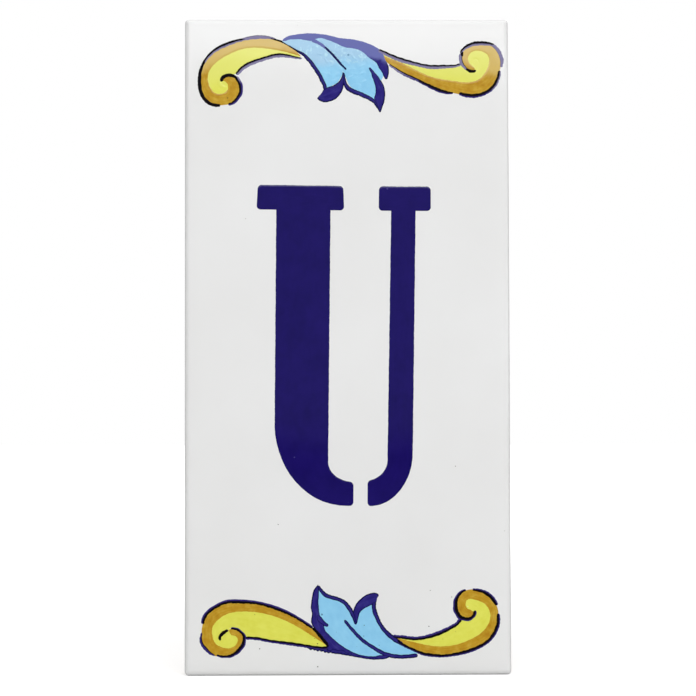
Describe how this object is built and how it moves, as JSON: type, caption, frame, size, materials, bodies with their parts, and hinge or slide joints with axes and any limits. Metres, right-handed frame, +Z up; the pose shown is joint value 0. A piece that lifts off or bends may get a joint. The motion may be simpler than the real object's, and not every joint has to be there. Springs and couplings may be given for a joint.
{
  "type": "ceramic letter tile",
  "caption": "Upright glazed wall tile with a stencilled slab capital between two painted scroll-and-leaf bands, for spelling out a house name beside a door.",
  "frame": {"origin": "centre of the flat back, which is bedded on the wall", "axes": "+Z up the letter, +Y out of the back into the wall, so the painted face looks to -Y, and +X to the reader's right"},
  "size_m": [0.074, 0.0072, 0.1494],
  "materials": {
    "glazed_clay": "gloss",
    "indigo_enamel": "gloss",
    "yellow_enamel": "gloss",
    "ochre_enamel": "gloss",
    "blue_enamel": "gloss",
    "violet_enamel": "gloss",
    "dark_enamel": "gloss"
  },
  "bodies": {
    "root": {"tile": "glazed_clay", "letter": "indigo_enamel", "scroll_yellow": "yellow_enamel", "scroll_ochre": "ochre_enamel", "leaf_blue": "blue_enamel", "leaf_violet": "violet_enamel", "dark_outline": "dark_enamel"}
  },
  "joints": []
}
